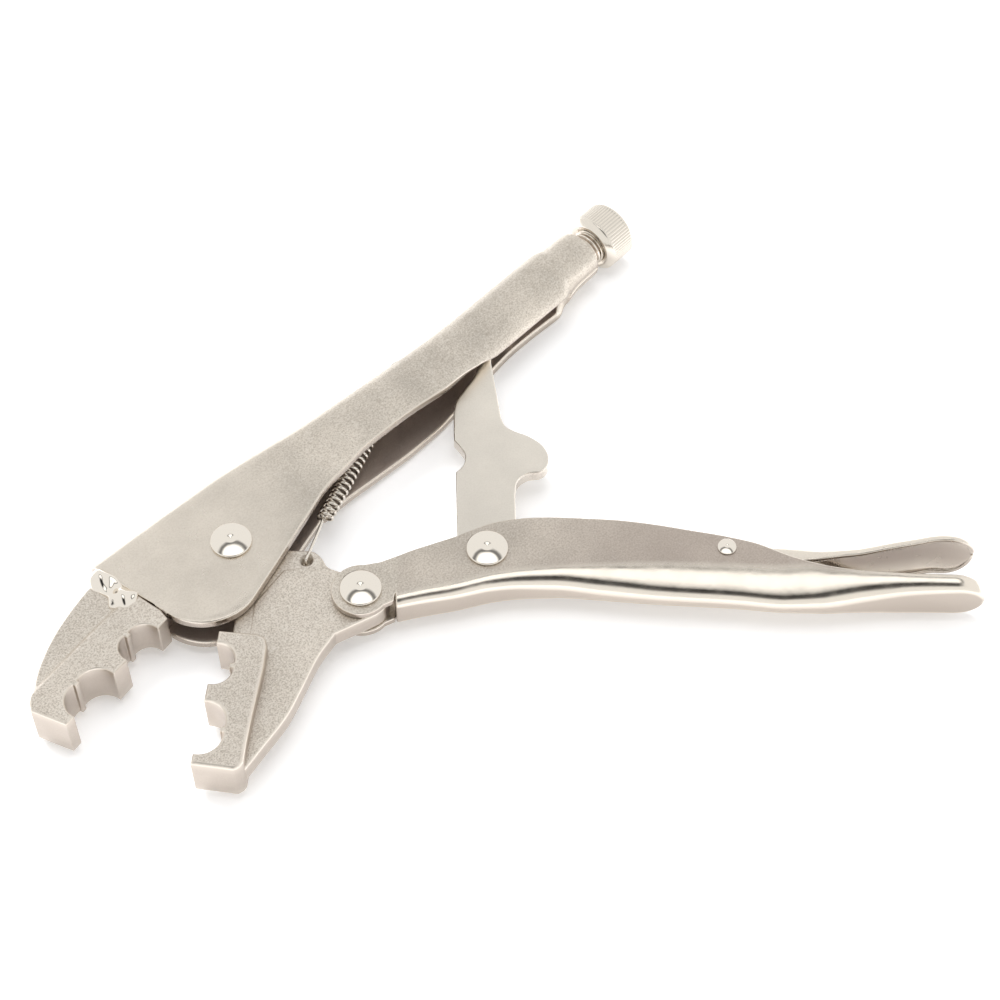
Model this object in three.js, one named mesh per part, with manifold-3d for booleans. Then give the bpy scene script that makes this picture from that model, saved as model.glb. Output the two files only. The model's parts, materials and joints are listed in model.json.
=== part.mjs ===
// Locking pliers with two pairs of stepped half-round notches in the jaws, drawn open.
// Millimetres, +Z up. The pliers lie on one side: every rivet stands along Z and the adjusting
// screw runs along X. Shapes are drawn round the jaw rivet, and the last lines of the file move
// the origin to the middle of the underside.
import * as THREE from "three";
import { mergeVertices } from "three/addons/utils/BufferGeometryUtils.js";
import Module from "manifold-3d";

const wasm = await Module();
wasm.setup();

// Linkage: places of the pivots, and the open position that the pliers are drawn in.
const JAW_OPENING = 28.5; // degrees from jaws shut to the drawn position
const HANDLE_ANGLE = -47.5; // lower handle against the upper one, degrees
const HANDLE_PIVOT = [-5.46, -34.36]; // from the jaw rivet, jaws shut
const LINK_PIVOT = [30.4, 11.7]; // from the handle rivet, along and across the lower handle
const LEVER_PIVOT = [88.8, 12.2]; // the same way

// Sheet metal and forged plates.
const UPPER_SHEET = 2.5; // drawn thinner where the handle closes on the screw
const UPPER_HALF = 5.6; // half width of the upper handle round the jaws
const TUBE_RADIUS = 8.0; // where the upper handle is rolled round the screw
const LOWER_SHEET = 2.0;
const LOWER_HALF = 5.0;
const LEVER_SHEET = 1.3;
const LINK_HALF = 1.9;
const BLOCK_HALF = 6.3; // tooth blocks of both jaws
const BACK_HALF = 4.4; // back of the fixed jaw
const SHANK_HALF = 2.7; // what sits inside the handles
const HUB_HALF = 2.4; // movable jaw inside the upper handle

// Rivets, screw and spring.
const RIVET = { head: 5.1, rise: 1.5, shank: 3.0, hole: 3.3 };
const SMALL_RIVET = { head: 2.3, rise: 0.8, shank: 1.3, hole: 1.6 };
const SEAT = 0.1; // under a rivet head
const SCREW_Y = 2.45; // screw axis
const SCREW_RADIUS = 5.0;
const SCREW_BORE = 5.35;
const TUBE_END = 132;
const KNOB = { front: 135.6, length: 9.5, radius: 8.0, chamfer: 1.5, edge: 0.7 };
const TIP = { start: 98.6, length: 4.2, radius: 3.6 };
const SPRING = { coil: 2.2, wire: 0.4, front: [23.4, -9.8], rear: [59, 3.6] };
const HOOK_HOLE = [0.9, -18.7]; // in the movable jaw, jaws shut
const HOOK_SLOT = { from: 64, to: 69.5, half: 1.7 }; // in the spine of the upper handle
const ROUND = 20; // sides of a turned piece
const THROUGH = 12; // half length of a cutter that passes through every plate

const radians = THREE.MathUtils.degToRad;

function turned(point, degrees) {
  const a = radians(degrees);
  return [
    point[0] * Math.cos(a) - point[1] * Math.sin(a),
    point[0] * Math.sin(a) + point[1] * Math.cos(a),
  ];
}

// ---- solids ----

function solid(geometry) {
  const bare = geometry.clone();
  bare.deleteAttribute("normal");
  bare.deleteAttribute("uv");
  const merged = mergeVertices(bare, 1e-4);
  return new wasm.Manifold(
    new wasm.Mesh({
      numProp: 3,
      vertProperties: merged.attributes.position.array,
      triVerts: new Uint32Array(merged.index.array),
    }),
  );
}

function geometryOf(body) {
  const mesh = body.getMesh();
  const geometry = new THREE.BufferGeometry();
  geometry.setAttribute("position", new THREE.BufferAttribute(mesh.vertProperties, 3));
  geometry.setIndex(new THREE.BufferAttribute(mesh.triVerts, 1));
  geometry.computeVertexNormals();
  return geometry;
}

// An outline given as THREE.Shape, from z = low to z = high.
function plate(shape, low, high, curveSegments = 10) {
  const geometry = new THREE.ExtrudeGeometry(shape, {
    depth: high - low,
    bevelEnabled: false,
    curveSegments,
  });
  return solid(geometry.translate(0, 0, low));
}

function post(x, y, radius, low, high) {
  const geometry = new THREE.CylinderGeometry(radius, radius, high - low, ROUND);
  return solid(geometry.rotateX(Math.PI / 2).translate(x, y, (low + high) / 2));
}

function block(x0, x1, y0, y1, z0, z1) {
  const geometry = new THREE.BoxGeometry(x1 - x0, y1 - y0, z1 - z0);
  return solid(geometry.translate((x0 + x1) / 2, (y0 + y1) / 2, (z0 + z1) / 2));
}

function turnedAlongX(profile, y) {
  const points = profile.map(([x, r]) => new THREE.Vector2(r, x));
  const geometry = new THREE.LatheGeometry(points, ROUND);
  return solid(geometry.rotateZ(-Math.PI / 2).translate(0, y, 0));
}

function wire(points, radius, steps) {
  const circle = new THREE.Shape().absarc(0, 0, radius, 0, 2 * Math.PI);
  const path = new THREE.CatmullRomCurve3(points.map((p) => new THREE.Vector3(...p)));
  const geometry = new THREE.ExtrudeGeometry(circle, {
    extrudePath: path,
    steps,
    curveSegments: 3,
  });
  return solid(geometry);
}

// ---- sheet bent to a section that changes along X ----

// Smooth value at x through a few [x, value] pairs.
function along(keys, x) {
  const last = keys.length - 1;
  if (x <= keys[0][0]) return keys[0][1];
  if (x >= keys[last][0]) return keys[last][1];
  const i = keys.findIndex((key) => key[0] > x) - 1;
  const slope = (a, b) => (keys[b][1] - keys[a][1]) / (keys[b][0] - keys[a][0]);
  const span = keys[i + 1][0] - keys[i][0];
  const here = slope(i, i + 1);
  const gentle = (m) => (m * here <= 0 ? 0 : Math.sign(here) * Math.min(Math.abs(m), 3 * Math.abs(here)));
  const m0 = gentle(i > 0 ? slope(i - 1, i + 1) : here);
  const m1 = gentle(i + 1 < last ? slope(i, i + 2) : here);
  const t = (x - keys[i][0]) / span;
  const a = keys[i][1];
  const b = keys[i + 1][1];
  return (
    a * (1 + 2 * t) * (1 - t) ** 2 +
    m0 * span * t * (1 - t) ** 2 +
    b * t * t * (3 - 2 * t) +
    m1 * span * t * t * (t - 1)
  );
}

const LIP_STEPS = 3;
const CORNER_STEPS = 4;

// Half of a channel's middle line, from the middle of its web to one free edge, as [depth, width]
// pairs: depth grows away from the web. The web is flat, its corner is a quarter ellipse, the wall
// is straight and the lip curls in by `curl`.
function halfChannel({ half, deep, wide, edge, curl = 0, steps = LIP_STEPS }) {
  const points = [];
  const flat = Math.max(half - wide, 0.15);
  for (let k = 0; k <= CORNER_STEPS; k++) {
    const a = (k / CORNER_STEPS) * (Math.PI / 2);
    points.push([deep * (1 - Math.cos(a)), flat + (half - flat) * Math.sin(a)]);
  }
  const turn = Math.max(curl, 1e-3);
  const lip = Math.max(half * Math.sin(turn), (edge - deep) / 2);
  const start = Math.max(edge - lip, deep + 0.2);
  for (let k = 0; k <= steps; k++) {
    const a = (k / steps) * turn;
    points.push([start + ((edge - start) * Math.sin(a)) / Math.sin(turn), half * Math.cos(a)]);
  }
  return points;
}

// Sheet of thickness sheet(x), bent at each x to the middle line section(x), a list of [y, z].
function formedSheet(stations, section, sheet) {
  const count = section(stations[0]).length - 1;
  const geometry = new THREE.BoxGeometry(1, 1, 1, stations.length - 1, count, 1);
  const position = geometry.attributes.position;
  const lines = stations.map(section);
  for (let i = 0; i < position.count; i++) {
    const station = Math.round((position.getX(i) + 0.5) * (stations.length - 1));
    const step = Math.round((position.getY(i) + 0.5) * count);
    const line = lines[station];
    const before = line[Math.max(step - 1, 0)];
    const after = line[Math.min(step + 1, count)];
    const length = Math.hypot(after[0] - before[0], after[1] - before[1]);
    const offset = position.getZ(i) * sheet(stations[station]);
    const y = line[step][0] - (offset * (after[1] - before[1])) / length;
    const z = line[step][1] + (offset * (after[0] - before[0])) / length;
    position.setXYZ(i, stations[station], y, z);
  }
  return solid(geometry);
}

function stationsBetween(from, to, count) {
  return Array.from({ length: count + 1 }, (_, i) => from + ((to - from) * i) / count);
}

// ---- upper handle ----

const spineY = [[-30, 21.1], [-8, 19.9], [14, 18], [26, 16.2], [38, 14.3], [62, 12.1], [80, 10.7],
  [92, 10.45]];
const upperHalf = [[5, UPPER_HALF], [35, 6.6], [60, 7.6], [85, TUBE_RADIUS], [115, TUBE_RADIUS],
  [119, 7.95], [122.5, 7.3], [126, 7.05], [TUBE_END, 6.8]];
const upperDeep = [[10, 4], [35, 5.2], [60, 7.2], [90, TUBE_RADIUS]];
const upperWide = [[10, 4], [35, 5.4], [60, 7.0], [90, TUBE_RADIUS]];
const topEdgeY = [[-30, -18], [2, -18], [18, -9.3], [25, -5.7], [31, -4.8], [42, -4], [55, -4.8],
  [70, -6.5], [90, -3.6]];
const bottomEdgeY = [[-30, -18], [2, -18], [18, -9.3], [26, -6.2], [42, -6.7], [55, -7.3], [70, -6.6],
  [90, -3.6]];
const FORGED_FROM = 110;
const lipCurl = [[64, 0], [78, 32], [90, 63], [114, 63], [119, 88.2]];

// The rear end is forged down onto the screw, and its wall gets thinner there.
function upperSheet(x) {
  return x < FORGED_FROM ? UPPER_SHEET : Math.min(UPPER_SHEET, along(upperHalf, x) - SCREW_BORE);
}

function upperSection(x) {
  const inset = upperSheet(x) / 2;
  const outer = along(upperHalf, x);
  const half = outer - inset;
  const tube = x > 92;
  const spine = tube ? SCREW_Y + outer : along(spineY, x);
  const deep = (tube ? outer : along(upperDeep, x)) - inset;
  const wide = (tube ? outer : along(upperWide, x)) - inset;
  const curl = radians(along(lipCurl, x));
  const side = (edgeKeys) => {
    const lowest = tube ? SCREW_Y - half * Math.sin(curl) : along(edgeKeys, x);
    return halfChannel({ half, deep, wide, edge: spine - inset - lowest, curl });
  };
  const top = side(topEdgeY).map(([d, w]) => [spine - inset - d, w]);
  const bottom = side(bottomEdgeY).map(([d, w]) => [spine - inset - d, -w]);
  return [...bottom.reverse(), ...top];
}

const LOBE = { x: -11, y: -2, radius: 13.8, end: 286.7 };

// Side view of the upper handle's front: a slanted front edge and a round lobe over the jaws.
function lobeOutline() {
  return new THREE.Shape()
    .moveTo(-27.2, 30)
    .lineTo(LOBE.x - LOBE.radius, LOBE.y)
    .absarc(LOBE.x, LOBE.y, LOBE.radius, Math.PI, radians(LOBE.end), false)
    .lineTo(30, -4.1)
    .lineTo(30, -30)
    .lineTo(150, -30)
    .lineTo(150, 30);
}

function upperHandle() {
  const stations = [
    ...stationsBetween(-30, 14, 5),
    ...stationsBetween(20, 60, 8),
    ...stationsBetween(64, 90, 7),
    ...stationsBetween(92.1, 114, 2),
    ...stationsBetween(117, TUBE_END, 5),
  ];
  const slot = block(HOOK_SLOT.from, HOOK_SLOT.to, 6.5, 16, -HOOK_SLOT.half, HOOK_SLOT.half);
  return formedSheet(stations, upperSection, upperSheet)
    .intersect(plate(lobeOutline(), -THROUGH, THROUGH, 14))
    .subtract(post(0, 0, RIVET.hole, -THROUGH, THROUGH))
    .subtract(slot);
}

// ---- jaws ----

// Both jaws carry the same edge: from the tip, a land, a wide notch, a land, a narrow notch and
// a land. Each notch is two arcs that meet at a small rib.
const TOOTH_LINE = { start: [-61.6, -9.8], slope: 7.8 };
const NOTCHES = [
  { from: 2.9, to: 16.9, radius: 5.3, rib: 9.9, depth: 6.0 },
  { from: 21.7, to: 32.8, radius: 4.3, rib: 27.2, depth: 5.05 },
];
const TOOTH_LENGTH = 36.4;
const RIB = { half: 0.75, drop: 0.9 };
const JAW_GAP = 0.3; // between the lands of the shut jaws
const KNUCKLE_RADIUS = 6.9; // movable jaw round the handle rivet

// Points of the toothed edge along and across the tooth line, tip first.
function toothProfile() {
  const points = [[0, 0]];
  for (const { from, to, radius, rib, depth } of NOTCHES) {
    const rise = depth - radius;
    const arc = (centre, a0, a1) => {
      for (let k = 0; k <= 6; k++) {
        const a = radians(a0 + ((a1 - a0) * k) / 6);
        points.push([centre + radius * Math.cos(a), rise + radius * Math.sin(a)]);
      }
    };
    const left = from + radius;
    const right = to - radius;
    const reach = (centre, edge) => THREE.MathUtils.radToDeg(Math.acos((edge - centre) / radius));
    points.push([from, 0]);
    arc(left, 180, reach(left, rib - RIB.half));
    points.push([rib - RIB.half, depth - RIB.drop], [rib + RIB.half, depth - RIB.drop]);
    arc(right, reach(right, rib + RIB.half), 0);
    points.push([to, 0]);
  }
  points.push([TOOTH_LENGTH, 0]);
  return points;
}

// The toothed edge on the plane of the jaws; side is 1 for the fixed jaw and -1 for the other.
function toothEdge(side, gap) {
  const a = radians(TOOTH_LINE.slope);
  return toothProfile().map(([s, d]) => [
    TOOTH_LINE.start[0] + s * Math.cos(a) - side * (d + gap) * Math.sin(a),
    TOOTH_LINE.start[1] + s * Math.sin(a) + side * (d + gap) * Math.cos(a),
  ]);
}

function through(points) {
  return points.map((p) => new THREE.Vector2(...p));
}

function outline(points) {
  const shape = new THREE.Shape().moveTo(...points[0]);
  points.slice(1).forEach((p) => shape.lineTo(...p));
  return shape;
}

function fixedJaw() {
  const teeth = toothEdge(1, 0);
  const toothBlock = outline([...teeth, [-25.5, -1], [-25.8, 4.6], [-60.5, 1.6], [-64.2, -0.9]]);
  const back = new THREE.Shape()
    .moveTo(-63.6, -4)
    .lineTo(-64.4, -0.6)
    .quadraticCurveTo(-52, 12.2, -34, 15.4)
    .lineTo(-26.9, 16)
    .lineTo(-26, 4)
    .lineTo(-28, -1)
    .lineTo(-50, -2);
  const shank = new THREE.Shape()
    .moveTo(-36, 0)
    .lineTo(-24, -2.6)
    .lineTo(-14.6, -1.6)
    .absarc(0, 0, 13.2, Math.PI * 0.96, Math.PI * 0.62, true)
    .lineTo(-12, 15.4)
    .lineTo(-36, 14);
  return plate(toothBlock, -BLOCK_HALF, BLOCK_HALF)
    .add(plate(back, -BACK_HALF, BACK_HALF))
    .add(plate(shank, -SHANK_HALF, SHANK_HALF));
}

function movableJaw() {
  const [px, py] = HANDLE_PIVOT;
  const toothBlock = outline(toothEdge(-1, JAW_GAP))
    .lineTo(-24.3, -13.5)
    .quadraticCurveTo(-24.6, -17.2, -28.5, -18)
    .lineTo(-55.5, -21)
    .lineTo(-58.6, -21.6)
    .quadraticCurveTo(-60.6, -20.6, -60.8, -18.6);
  const arm = new THREE.Shape()
    .moveTo(-25.6, -11.6)
    .lineTo(-14.2, -9.8)
    .lineTo(-3, -13.6)
    .lineTo(-0.7, -25.4)
    .lineTo(0, -29)
    .absarc(px, py, KNUCKLE_RADIUS, radians(43), radians(222), true)
    .lineTo(-18.6, -31.4)
    .splineThru(through([[-22, -29.9], [-33.8, -28.2], [-44.6, -26.5], [-58.4, -21.7]]))
    .lineTo(-59, -19)
    .lineTo(-40, -17);
  const hub = new THREE.Shape()
    .moveTo(-26, -9)
    .lineTo(-18, -6.6)
    .lineTo(-10.9, -5.1)
    .absarc(0, 0, 12, radians(205), radians(-78), true)
    .splineThru(through([[3.4, -16], [3.9, -19.3], [2.6, -22.2], [0.4, -24.6]]))
    .lineTo(0, -29)
    .lineTo(-20, -26)
    .lineTo(-28, -14);
  return plate(toothBlock, -BLOCK_HALF, BLOCK_HALF, 4)
    .add(plate(arm, -SHANK_HALF, SHANK_HALF, 5))
    .add(plate(hub, -HUB_HALF, HUB_HALF, 5))
    .subtract(post(0, 0, RIVET.hole, -THROUGH, THROUGH))
    .subtract(post(px, py, RIVET.hole, -THROUGH, THROUGH))
    .subtract(post(HOOK_HOLE[0], HOOK_HOLE[1], 1.5, -THROUGH, THROUGH));
}

// Weld bead that fills the corner between the handle's front edge and the fixed jaw.
function weld(side) {
  const bead = new THREE.Shape()
    .moveTo(-32.3, BACK_HALF + 0.3)
    .quadraticCurveTo(-30.5, 6.9, -26.9, 6.5)
    .lineTo(-26.6, BACK_HALF + 0.3);
  const geometry = new THREE.ExtrudeGeometry(bead, { depth: 9.4, bevelEnabled: false, curveSegments: 5 });
  const body = solid(geometry.rotateX(Math.PI / 2).translate(0, 15.2, 0));
  return side > 0 ? body : body.mirror([0, 0, 1]);
}

// ---- lower handle, drawn along X from the handle rivet ----

const webY = [[8.3, -4.3], [15, -2.7], [23, -1.1], [31, 1], [38, 1.9], [48, 2], [58, 0.9], [72, -0.5],
  [92, -1.8], [106, -2.2], [122, -1.4], [134, -0.9], [150, -0.7]];
const openY = [[8.3, 9.2], [22.8, 15.2], [31.1, 18.9], [38.3, 20.5], [46, 20.9], [63, 20.1], [80.7, 16.8],
  [96, 13.2], [104, 9.2], [114, 5.8], [122, 4.4], [134, 3.3], [150, 2.9]];
const lowerHalf = [[100, LOWER_HALF], [130, 6.6]];
const lowerDeep = [[8.3, 2.6], [31, 3.2], [48, 4.4], [60, 7], [72, 9.2], [92, 9], [100, 8.6], [106, 7.4],
  [114, 5.6], [122, 4.4], [134, 3.2], [150, 3]];
const lowerWide = [[8.3, 2.4], [31, 3], [48, 3.8], [60, 4.6], [72, LOWER_HALF], [114, LOWER_HALF],
  [122, 4.2], [134, 3.2], [150, 2.8]];
const LOWER_END = 150;
const LOWER_TAIL = 6.8; // end radius
const EAR_RADIUS = 7.2; // round the handle rivet
const EAR_INSET = 0.05; // ears are this much thinner than the sheet on each face

function lowerSection(x) {
  const inset = LOWER_SHEET / 2;
  const web = along(webY, x) + inset;
  const half = channelHalf({
    half: along(lowerHalf, x) - inset,
    deep: along(lowerDeep, x) - inset,
    wide: along(lowerWide, x) - inset,
    edge: along(openY, x) - web,
  });
  return bothSides(half, (d) => web + d);
}

// A channel's half line without a curled lip.
function channelHalf(values) {
  return halfChannel({ ...values, steps: 1 });
}

function bothSides(half, place) {
  const low = half.map(([d, w]) => [place(d), -w]);
  const high = half.map(([d, w]) => [place(d), w]);
  return [...low.reverse(), ...high];
}

// Cutter that rounds the end of a strip in its own plane, which stands along Z.
function roundEnd(end, radius) {
  const start = -20;
  const aside = 20;
  const depth = 80;
  const shape = new THREE.Shape()
    .moveTo(start, -aside)
    .lineTo(end - radius, -aside)
    .lineTo(end - radius, -radius)
    .absarc(end - radius, 0, radius, -Math.PI / 2, Math.PI / 2, false)
    .lineTo(end - radius, aside)
    .lineTo(start, aside);
  const geometry = new THREE.ExtrudeGeometry(shape, { depth, bevelEnabled: false, curveSegments: 12 });
  return solid(geometry.rotateX(Math.PI / 2).translate(0, depth * 0.6, 0));
}

function lowerHandle() {
  const stations = [
    ...stationsBetween(8.3, 55, 10),
    ...stationsBetween(60, 96, 6),
    ...stationsBetween(101, 126, 5),
    ...stationsBetween(131, LOWER_END, 3),
  ];
  const ear = new THREE.Shape()
    .moveTo(10, 9.8)
    .lineTo(4.5, 7.6)
    .absarc(0, 0, EAR_RADIUS, radians(96), radians(322), false)
    .lineTo(8.6, -2.6)
    .lineTo(10, -2.4);
  const inner = LOWER_HALF - LOWER_SHEET;
  return formedSheet(stations, lowerSection, () => LOWER_SHEET)
    .intersect(roundEnd(LOWER_END, LOWER_TAIL))
    .add(plate(ear, inner + EAR_INSET, LOWER_HALF - EAR_INSET))
    .add(plate(ear, EAR_INSET - LOWER_HALF, -inner - EAR_INSET))
    .subtract(post(0, 0, RIVET.hole, -THROUGH, THROUGH))
    .subtract(post(...LINK_PIVOT, RIVET.hole, -THROUGH, THROUGH))
    .subtract(post(...LEVER_PIVOT, SMALL_RIVET.hole, -THROUGH, THROUGH));
}

// ---- release lever, in the lower handle's frame ----

const LEVER_END = 149.4;
const LEVER_TAIL = 7.4; // end radius
const leverFree = [[67, 5.6], [88, 8.4], [96, 9.6], [101, 10.2], [107, 10.2], [113, 9.8], [121, 9.4],
  [128, 10.5], [134, 11.9], [141, 13.2], [LOWER_END, 12.6]];
const leverDeep = [[67, 3.6], [88, 6.8], [96, 5.6], [107, 4.2], [113, 3.4], [121, 2.9], [134, 2.8],
  [141, 2.4], [LOWER_END, 1.7]];
const leverHalf = [[67, 2.1], [96, 2.3], [107, 2.5], [112, 3.4], [118, 5.4], [124, 6.6], [130, 7.2],
  [LOWER_END, 7.3]];

function leverSection(x) {
  const inset = LEVER_SHEET / 2;
  const half = along(leverHalf, x) - inset;
  const free = along(leverFree, x);
  const deep = along(leverDeep, x) - inset;
  const crown = free + deep;
  const profile = channelHalf({ half, deep: deep - 0.3, wide: half, edge: deep });
  return bothSides(profile, (d) => crown - d).reverse();
}

function releaseLever() {
  const stations = [
    ...stationsBetween(67, 104, 5),
    ...stationsBetween(108, 140, 8),
    ...stationsBetween(144, LEVER_END, 2),
  ];
  return formedSheet(stations, leverSection, () => LEVER_SHEET)
    .intersect(roundEnd(LEVER_END, LEVER_TAIL))
    .subtract(post(...LEVER_PIVOT, SMALL_RIVET.hole, -THROUGH, THROUGH));
}

// ---- toggle link, in the lower handle's frame ----

function toggleLink() {
  const shape = new THREE.Shape()
    .moveTo(23.1, 12.5)
    .absarc(...LINK_PIVOT, 7.3, Math.PI, 2 * Math.PI, false)
    .lineTo(37.3, 30.5)
    .splineThru(through([[37.9, 34.6], [40.4, 37], [43.4, 37.5], [45.6, 39.6], [45.7, 43]]))
    .splineThru(through([[43.9, 46.6], [40, 49.3]]))
    .lineTo(36.6, 50.9)
    .quadraticCurveTo(34.2, 52.2, 33.7, 55)
    .lineTo(31.2, 73)
    .lineTo(31.3, 81)
    .absarc(29.4, 81, 1.9, 0, Math.PI, false)
    .lineTo(27.6, 73)
    .splineThru(through([[26.8, 68.4], [24.2, 63.8], [22.2, 60], [21.6, 56.5]]))
    .lineTo(21.8, 47.6)
    .quadraticCurveTo(24.8, 46, 24.8, 42.2)
    .quadraticCurveTo(24.6, 39, 22.5, 37.2);
  return plate(shape, -LINK_HALF, LINK_HALF, 6).subtract(post(...LINK_PIVOT, RIVET.hole, -THROUGH, THROUGH));
}

// ---- rivets, screw and spring ----

function rivet(size, plateTop) {
  const seat = plateTop + SEAT;
  const dome = [0.35, 0.7].map((t) => {
    const a = (t * Math.PI) / 2;
    return [seat + 0.4 + (size.rise - 0.4) * Math.sin(a), size.head * Math.cos(a)];
  });
  const half = [
    [seat, size.shank],
    [seat, size.head - 0.15],
    [seat + 0.4, size.head],
    ...dome,
    [seat + size.rise, 0],
  ];
  const lower = half.map(([z, r]) => [-z, r]).reverse();
  const points = [...lower, ...half].map(([z, r]) => new THREE.Vector2(r, z));
  return solid(new THREE.LatheGeometry(points, ROUND).rotateX(Math.PI / 2));
}

function knob() {
  const { front, length, radius, chamfer, edge } = KNOB;
  return turnedAlongX(
    [
      [front, 0],
      [front, radius - chamfer],
      [front + chamfer, radius],
      [front + length - edge, radius],
      [front + length, radius - edge],
      [front + length, 0],
    ],
    SCREW_Y,
  );
}

function screwShank() {
  const start = TIP.start + TIP.length + 0.3;
  const end = KNOB.front - 0.1;
  return turnedAlongX(
    [
      [start, 0],
      [start, SCREW_RADIUS - 1],
      [start + 1, SCREW_RADIUS],
      [end, SCREW_RADIUS],
      [end, 0],
    ],
    SCREW_Y,
  );
}

function screwTip() {
  const { start, length, radius } = TIP;
  return turnedAlongX(
    [
      [start, 0],
      [start + 0.2, radius * 0.5],
      [start + 1.1, radius],
      [start + length, radius],
      [start + length, 0],
    ],
    SCREW_Y,
  );
}

// Coil as a plain rod of its outer size, with the wire hooks at both ends.
function returnSpring() {
  const [fx, fy] = SPRING.front;
  const [rx, ry] = SPRING.rear;
  const [hx, hy] = turned(HOOK_HOLE, JAW_OPENING);
  const side = HUB_HALF + 0.9;
  const coil = wire([[fx, fy, 0], [rx, ry, 0]], SPRING.coil, 1);
  const front = wire(
    [
      [fx + 0.8, fy + 0.4, 1],
      [fx - 2, fy - 0.8, 1.4],
      [hx + 3.6, hy + 1.6, side - 0.2],
      [hx + 0.7, hy + 0.3, side],
      [hx - 0.3, hy - 0.1, side - 1],
      [hx - 0.4, hy - 0.1, 0],
      [hx - 0.3, hy - 0.1, 1 - side],
      [hx + 0.7, hy + 0.3, -side],
      [hx + 3.6, hy + 1.6, 0.2 - side],
      [fx - 2, fy - 0.8, -1.4],
      [fx + 0.8, fy + 0.4, -1],
    ],
    SPRING.wire,
    30,
  );
  const rear = wire(
    [
      [rx - 0.8, ry - 0.3, 0],
      [rx + 3, ry + 1.6, 0],
      [HOOK_SLOT.to - 3, 10.2, 0],
      [HOOK_SLOT.to - 1.6, 12.2, 0],
      [HOOK_SLOT.to - 0.2, 12.9, 0],
      [HOOK_SLOT.to + 2, 12.6, 0],
    ],
    SPRING.wire,
    14,
  );
  return coil.add(front).add(rear);
}

// ---- assembly ----

const NICKEL = { color: 0xcfc8bc, roughness: 0.42, metalness: 1 };
const BRIGHT = { color: 0xe2ddd2, roughness: 0.16, metalness: 1 };

function named(name, body, finish) {
  const mesh = new THREE.Mesh(geometryOf(body), new THREE.MeshStandardMaterial(finish));
  mesh.name = name;
  return mesh;
}

function at(mesh, [x, y], degrees = 0) {
  mesh.position.set(x, y, 0);
  mesh.rotation.z = radians(degrees);
  return mesh;
}

const shutToOpen = (point) => turned(point, JAW_OPENING);
const handlePivot = shutToOpen(HANDLE_PIVOT);
const onLowerHandle = (point) => {
  const [x, y] = turned(point, HANDLE_ANGLE);
  return [handlePivot[0] + x, handlePivot[1] + y];
};

const pliers = new THREE.Group();
pliers.add(
  named("upper_handle", upperHandle(), NICKEL),
  named("fixed_jaw", fixedJaw(), NICKEL),
  named("top_weld", weld(1), BRIGHT),
  named("bottom_weld", weld(-1), BRIGHT),
  named("jaw_rivet", rivet(RIVET, UPPER_HALF), BRIGHT),
  named("screw_tip", screwTip(), NICKEL),
  named("adjusting_screw", screwShank(), BRIGHT),
  named("adjusting_knob", knob(), NICKEL),
  at(named("movable_jaw", movableJaw(), NICKEL), [0, 0], JAW_OPENING),
  at(named("lower_handle", lowerHandle(), NICKEL), handlePivot, HANDLE_ANGLE),
  at(named("handle_rivet", rivet(RIVET, LOWER_HALF), BRIGHT), handlePivot),
  at(named("link_rivet", rivet(RIVET, LOWER_HALF), BRIGHT), onLowerHandle(LINK_PIVOT)),
  at(named("lever_rivet", rivet(SMALL_RIVET, LOWER_HALF), BRIGHT), onLowerHandle(LEVER_PIVOT)),
  at(named("toggle_link", toggleLink(), NICKEL), handlePivot, HANDLE_ANGLE),
  at(named("release_lever", releaseLever(), NICKEL), handlePivot, HANDLE_ANGLE),
  named("return_spring", returnSpring(), BRIGHT),
);

// Origin in the middle of the underside.
const box = new THREE.Box3().setFromObject(pliers, true);
pliers.position.set(-(box.min.x + box.max.x) / 2, -(box.min.y + box.max.y) / 2, -box.min.z);

export default pliers;
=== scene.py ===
"""Locking pliers: the detailed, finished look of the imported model.

Shapes are drawn in millimetres in three flat drawings, each with +Z along the rivets:
  HANDLE  origin on the jaw rivet, X along the upper handle and its screw
  JAW     the same, turned by the jaw's opening, so that the movable jaw is drawn shut
  LOWER   origin on the handle rivet, X along the lower handle
"""
import json
import math

import bpy
import numpy as np
from mathutils import Matrix, Vector
from mathutils.geometry import delaunay_2d_cdt

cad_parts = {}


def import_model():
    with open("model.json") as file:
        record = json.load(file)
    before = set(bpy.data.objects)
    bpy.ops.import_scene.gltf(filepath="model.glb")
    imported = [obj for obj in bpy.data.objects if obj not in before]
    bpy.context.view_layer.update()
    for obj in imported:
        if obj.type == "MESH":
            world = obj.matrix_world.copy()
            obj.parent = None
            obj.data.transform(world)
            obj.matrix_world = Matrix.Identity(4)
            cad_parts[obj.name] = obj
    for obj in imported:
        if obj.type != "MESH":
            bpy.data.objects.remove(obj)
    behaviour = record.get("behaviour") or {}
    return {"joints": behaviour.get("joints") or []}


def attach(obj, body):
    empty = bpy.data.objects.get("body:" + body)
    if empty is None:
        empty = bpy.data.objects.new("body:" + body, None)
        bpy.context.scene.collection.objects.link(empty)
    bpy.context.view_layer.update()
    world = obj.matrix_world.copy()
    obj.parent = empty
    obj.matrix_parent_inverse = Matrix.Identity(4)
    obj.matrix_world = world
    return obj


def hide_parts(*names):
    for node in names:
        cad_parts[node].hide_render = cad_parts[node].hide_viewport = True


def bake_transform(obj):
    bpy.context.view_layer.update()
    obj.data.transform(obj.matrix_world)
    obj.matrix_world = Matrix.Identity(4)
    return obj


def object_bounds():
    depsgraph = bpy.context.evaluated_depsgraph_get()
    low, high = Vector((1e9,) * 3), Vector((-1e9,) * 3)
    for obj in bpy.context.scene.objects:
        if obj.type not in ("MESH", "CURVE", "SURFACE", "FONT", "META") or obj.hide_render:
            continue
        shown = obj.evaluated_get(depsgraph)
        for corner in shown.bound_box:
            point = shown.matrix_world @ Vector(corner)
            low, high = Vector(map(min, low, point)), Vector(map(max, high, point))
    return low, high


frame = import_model()
cad_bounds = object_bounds()

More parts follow.
